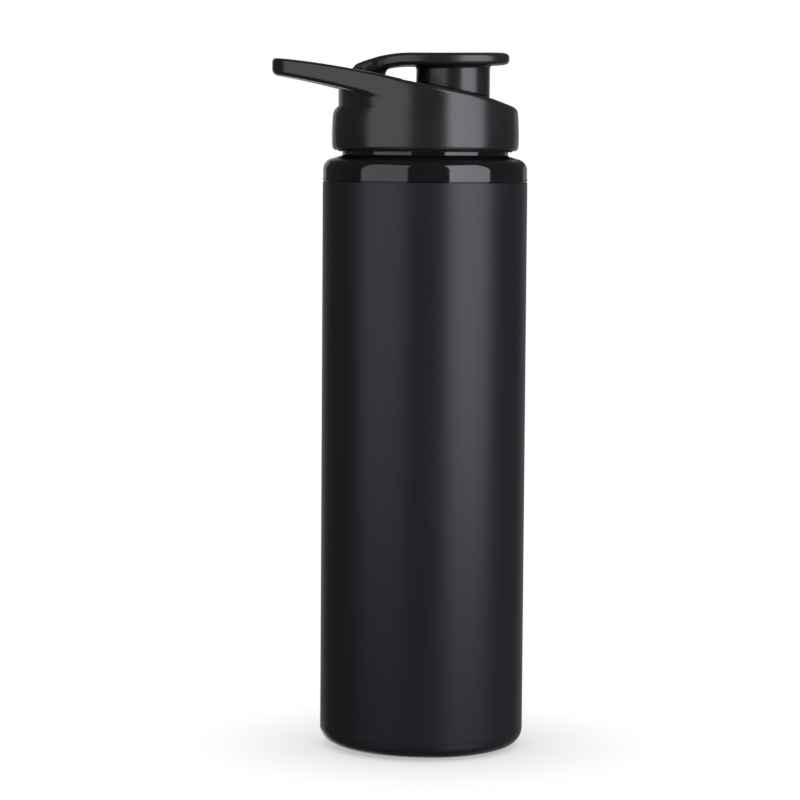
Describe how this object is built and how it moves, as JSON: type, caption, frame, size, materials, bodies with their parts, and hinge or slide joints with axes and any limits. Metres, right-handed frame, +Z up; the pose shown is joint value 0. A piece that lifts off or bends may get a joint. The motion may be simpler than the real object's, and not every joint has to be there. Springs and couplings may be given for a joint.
{
  "type": "protein shaker bottle",
  "caption": "Steel protein shaker bottle with a threaded collar, a screw lid with a slanted carry loop, a hinged flip cap over the spout and a loose wire whisk ball inside.",
  "frame": {"origin": "on the bottle's axis, in the plane of the surface that the bottle stands on (the underside of the base pad)", "axes": "+Z up along the bottle's axis; +X towards the flip cap's thumb tab, so the carry loop points to -X; +Y across the loop"},
  "size_m": [0.0912, 0.073, 0.2486],
  "materials": {
    "coated_steel": "satin black powder coat on thin stainless steel",
    "gloss_black": "high gloss black",
    "satin_black": "fine satin moulded black",
    "insert_grey": "smooth dark grey polypropylene",
    "silicone": "matte food-grade silicone",
    "black_rubber": "matte black non-slip silicone",
    "bare_steel": "polished stainless wire and rod"
  },
  "bodies": {
    "bottle": {"body_can": "coated_steel", "base_pad": "black_rubber", "neck_collar": "gloss_black", "collar_seal": "silicone"},
    "screw_rise": {"lid_gasket": "silicone"},
    "lid": {"lid_cover": "satin_black", "lid_insert": "insert_grey", "hinge_pin": "bare_steel"},
    "flip": {"flip_strap": "satin_black", "cap_cup": "satin_black", "cap_plug": "silicone"},
    "ball": {"whisk_ball": "bare_steel"}
  },
  "joints": [
    {"name": "lid_rise", "type": "slide", "parent": "bottle", "child": "screw_rise", "axis": [0, 0, 1], "range_m": [0, 0.015]},
    {"name": "lid_turn", "type": "hinge", "parent": "screw_rise", "child": "lid", "pos_m": [0, 0, 0.2136], "axis": [0, 0, 1], "range_deg": [0, 1440]},
    {"name": "flip_open", "type": "hinge", "parent": "lid", "child": "flip", "pos_m": [-0.026, 0, 0.23913], "axis": [0, -1, 0], "range_deg": [0, 115]},
    {"name": "ball_shake", "type": "slide", "parent": "bottle", "child": "ball", "axis": [0, 0, 1], "range_m": [0, 0.18]}
  ],
  "couplings": [
    {"joint": "lid_rise", "follows": "lid_turn", "m_per_rad": 0.00057296}
  ]
}
